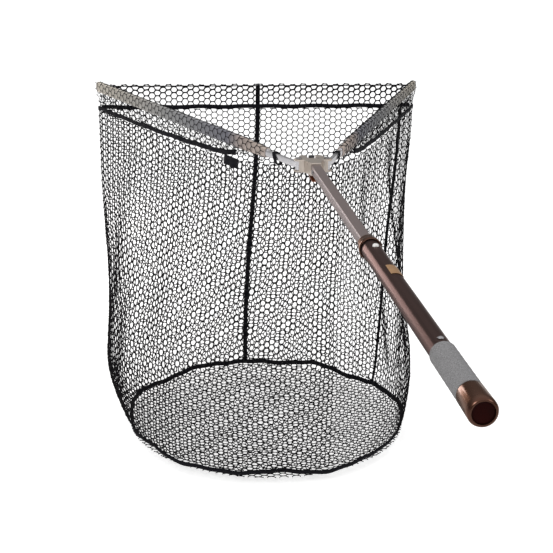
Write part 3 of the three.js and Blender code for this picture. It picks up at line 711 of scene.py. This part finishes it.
def wall_strip(name, u, s_list, width, thickness, lead=()):
    """A tape down the wall's outside at one u."""
    u_list = np.full(len(s_list), u)
    centres = wall_points(u_list, s_list, 0.0018)
    across = wall_points(u_list + 0.004, s_list) - wall_points(u_list - 0.004, s_list)
    across[:, 2] = 0
    across /= np.linalg.norm(across, axis=1, keepdims=True)
    outs = np.stack([across[:, 1], -across[:, 0], np.zeros(len(across))], 1)
    centres = list(lead) + [tuple(c) for c in centres]
    outs = [outs[0]] * len(lead) + list(outs)
    across = [across[0]] * len(lead) + list(across)
    return ribbon(name, centres, outs, across, width, thickness)


def build_tapes():
    """The ring's seam, the far side's middle seam and the right corner's seam."""
    # ring seam, wavy where the floor's edge is gathered
    steps = 260
    a = np.linspace(0, math.tau, steps, endpoint=False)
    wave = 0.0030 * np.sin(7 * a + 0.6) + 0.0018 * np.sin(12 * a + 1.9) + 0.0008 * np.sin(31 * a)
    r = RING_R + 0.0024 * np.sin(5 * a + 0.7) + 0.0014 * np.sin(11 * a + 2.0)
    centres = np.stack([RING_X + r * np.cos(a), RING_Y + r * np.sin(a), RING_Z + 0.0005 + wave], 1)
    outs = np.stack([np.cos(a), np.sin(a), -0.5 * np.ones_like(a)], 1)
    outs /= np.linalg.norm(outs, axis=1, keepdims=True)
    ups = np.stack([0.447 * np.cos(a), 0.447 * np.sin(a), 0.894 * np.ones_like(a)], 1)
    ring = ribbon("ring_tape_look", centres, outs, ups, 0.0085, 0.0034, closed=True)
    finished(ring, "tape", "extension", "ring_tape")

    top = TIP.y + 0.0056
    lead = [(0.0, top, 0.001), (0.0, top, -0.015), (0.0, top - 0.001, -0.03), (0.0, TIP.y + 0.003, -0.040)]
    back = wall_strip("back_tape_look", 0.5, np.linspace(0.01, 1.006, 64), 0.0085, 0.0014, lead)
    finished(back, "tape", "extension", "back_tape")

    side = wall_strip("side_tape_look", 0.372, np.linspace(0.004, 1.006, 64), 0.0062, 0.0014)
    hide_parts("side_tape")
    blend_by(side, "right", TIP.x, corner_down(TIP.x, CORNER_LOW_X))


def build_strap(side):
    """A webbing loop wound aslant round the link, its top towards the tip."""
    lean, width = 0.6, 0.0085
    lo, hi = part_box("strap_" + side)
    centre = (lo + hi) / 2
    s = mirror_side(side)
    ahead = Vector((s * ARM_DIR.x, ARM_DIR.y, 0))
    aside = Vector((s * ARM_DIR.y, -ARM_DIR.x, 0))
    centres, outs = [], []
    steps = 40
    for i in range(steps):
        a = i * math.tau / steps
        across, rise = math.cos(a), math.sin(a)
        x = 0.0046 * math.copysign(abs(across) ** 0.6, across)
        z = 0.0074 * math.copysign(abs(rise) ** 0.6, rise) - 0.0012 + 0.0016 * min(rise, 0)
        centres.append(centre + aside * x + ahead * (lean * z) + Vector((0, 0, z)))
        outs.append((aside * across + Vector((0, 0, rise * 0.6))).normalized())
    strap = ribbon(f"strap_{side}_look", centres, outs, [ahead] * steps, width, 0.0014, closed=True)
    finished(strap, "tape", "arm_" + side, "strap_" + side)


def build_tag():
    """The tag, slightly curled as it hangs."""
    lo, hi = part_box("net_tag")
    mesh = cad_mesh("net_tag")
    work = bmesh.new()
    work.from_mesh(mesh)
    bmesh.ops.remove_doubles(work, verts=work.verts, dist=1e-6)
    bmesh.ops.subdivide_edges(work, edges=work.edges, cuts=8, use_grid_fill=True)
    centre = (lo + hi) / 2
    for v in work.verts:
        drop = (hi.z - v.co.z) / (hi.z - lo.z)
        v.co.x += 0.0008 * math.sin((v.co.y - centre.y) * 300) * drop - 0.0012 * drop
    work.to_mesh(mesh)
    work.free()
    mesh.shade_smooth()
    tag = placed("net_tag_look", mesh, "tape")
    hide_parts("net_tag")
    blend_by(tag, "left", None, DEPTH)


# ------------------------------------------------------------------ handle and head
def build_hard_parts():
    """Every rigid node's own look: the turned pieces last."""
    turned = ("grip", "collar", "butt_cap")
    fabric = ("net_", "ring_tape", "side_tape", "back_tape", "far_hem", "hem_tape", "tip_cord", "strap_",
              "sleeve_", "mouth_tape_")
    for name in frame["nodes"]:
        if name in turned or name.startswith(fabric):
            continue
        width = 0.0007 if SLOT_OF[name] in ("champagne", "silver") else 0.0004
        refined(name, width=width, bends_to="button" if name == "button_spring" else None)
    build_grip()
    refined("collar", width=0.0005)
    refined("butt_cap", width=0.0004)


def build_grip():
    """Foam sleeve with a softly rounded front lip and a faint lengthwise waviness."""
    lo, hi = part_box("grip")
    radius = (hi.x - lo.x) / 2
    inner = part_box("outer_tube")[1].x + 0.0003
    steps = 60
    outline = [(inner, hi.y)]
    for i in range(7):
        a = i / 6 * math.pi / 2
        outline.append((inner + (radius - inner) * math.sin(a), hi.y - 0.0016 * (1 - math.cos(a))))
    for i in range(1, steps):
        t = i / steps
        y = hi.y - 0.0016 + (lo.y - hi.y + 0.0016) * t
        outline.append((radius + 0.00008 * math.sin(t * 46) - 0.00008, y))
    outline.append((radius, lo.y))
    outline.append((inner, lo.y))
    grip = lathe("grip_look", outline, "foam", sides=96)
    finished(grip, "foam", "handle", "grip")


# ------------------------------------------------------------------ camera, light and floor
def build_camera():
    """Looks along the handle from behind and above, a little from its left."""
    yaw, pitch, roll, focal = 0.132, 0.315, 0.017, 1230.0
    data = bpy.data.cameras.new("camera")
    camera = bpy.data.objects.new("camera", data)
    bpy.context.scene.collection.objects.link(camera)
    data.sensor_width = 36.0
    data.lens = focal / 553.0 * data.sensor_width
    data.clip_end = 100
    forward = Vector((math.sin(yaw) * math.cos(pitch), math.cos(yaw) * math.cos(pitch), -math.sin(pitch)))
    right = Vector((math.cos(yaw), -math.sin(yaw), 0))
    up = right.cross(forward)
    right, up = right * math.cos(roll) + up * math.sin(roll), up * math.cos(roll) - right * math.sin(roll)
    turn = Matrix((right, up, -forward)).transposed()
    camera.matrix_world = Matrix.Translation((-0.2735, HINGE_Y - 1.689, 0.3898)) @ turn.to_4x4()
    bpy.context.scene.camera = camera


def area_light(name, place, target, size, power, colour=(1, 1, 1)):
    data = bpy.data.lights.new(name, "AREA")
    data.shape = "RECTANGLE"
    data.size, data.size_y = size
    data.energy = power
    data.color = colour
    lamp = bpy.data.objects.new(name, data)
    bpy.context.scene.collection.objects.link(lamp)
    lamp.location = place
    lamp.rotation_mode = "QUATERNION"
    lamp.rotation_quaternion = (Vector(target) - Vector(place)).to_track_quat("-Z", "Y")
    return lamp


def seen_directly(tree, shown, otherwise, target):
    """Shows one shader to the lens and another to everything that is lit by it or mirrors it."""
    path = node(tree, "ShaderNodeLightPath")
    mix = node(tree, "ShaderNodeMixShader")
    tree.links.new(path.outputs["Is Camera Ray"], mix.inputs["Fac"])
    tree.links.new(otherwise, mix.inputs[1])
    tree.links.new(shown, mix.inputs[2])
    tree.links.new(mix.outputs[0], target)


def build_stage():
    """A white sweep lit from overhead, darker low down so that the metal keeps its own colour."""
    lowest = CAD_BOUNDS[0][2] - 0.003
    bpy.ops.mesh.primitive_plane_add(size=60, location=(0, 0, lowest))
    floor = bpy.context.object
    floor.name = "floor"
    pale = bpy.data.materials.new("floor")
    pale.use_nodes = True
    tree = pale.node_tree
    shader = tree.nodes["Principled BSDF"]
    shader.inputs["Base Color"].default_value = (0.9, 0.9, 0.9, 1)
    shader.inputs["Roughness"].default_value = 0.9
    shader.inputs["Specular IOR Level"].default_value = 0.1
    glow = node(tree, "ShaderNodeEmission", Strength=FLOOR_GLOW)
    both = node(tree, "ShaderNodeAddShader")
    tree.links.new(shader.outputs[0], both.inputs[0])
    tree.links.new(glow.outputs[0], both.inputs[1])
    seen_directly(tree, both.outputs[0], shader.outputs[0], tree.nodes["Material Output"].inputs["Surface"])
    floor.data.materials.append(pale)

    world = bpy.data.worlds.new("world")
    bpy.context.scene.world = world
    world.use_nodes = True
    tree = world.node_tree
    sky = tree.nodes["Background"]
    white = node(tree, "ShaderNodeBackground", Color=(1, 1, 1, 1), Strength=1.0)
    where = node(tree, "ShaderNodeTexCoord")
    split = node(tree, "ShaderNodeSeparateXYZ")
    fall = node(tree, "ShaderNodeMapRange")
    fall.interpolation_type = "SMOOTHSTEP"
    for key, value in (("From Min", 0.25), ("From Max", 0.85), ("To Min", SKY_LOW), ("To Max", SKY_TOP)):
        fall.inputs[key].default_value = value
    sky.inputs["Color"].default_value = (1, 1, 1, 1)
    tree.links.new(where.outputs["Generated"], split.inputs["Vector"])
    tree.links.new(split.outputs["Z"], fall.inputs["Value"])
    tree.links.new(fall.outputs["Result"], sky.inputs["Strength"])
    seen_directly(tree, white.outputs[0], sky.outputs[0], tree.nodes["World Output"].inputs["Surface"])

    bpy.context.scene.view_settings.view_transform = "Standard"
    streak = area_light("streak", (-0.90, 2.85, -0.02), (0, 0.25, 0), (0.34, 0.95), 9.0, (1.0, 0.93, 0.92))
    streak.visible_camera = False
    area_light("key", (-1.6, -1.2, 1.6), (0, 0.7, -0.1), (0.9, 0.9), 26)
    area_light("fill", (1.7, -0.9, 1.2), (0, 0.8, 0), (0.8, 0.8), 8)


build_camera()
build_hard_parts()
build_wall()
build_floor()
build_sleeve("left")
build_sleeve("right")
build_hem()
build_tapes()
build_strap("left")
build_strap("right")
build_tag()
build_stage()
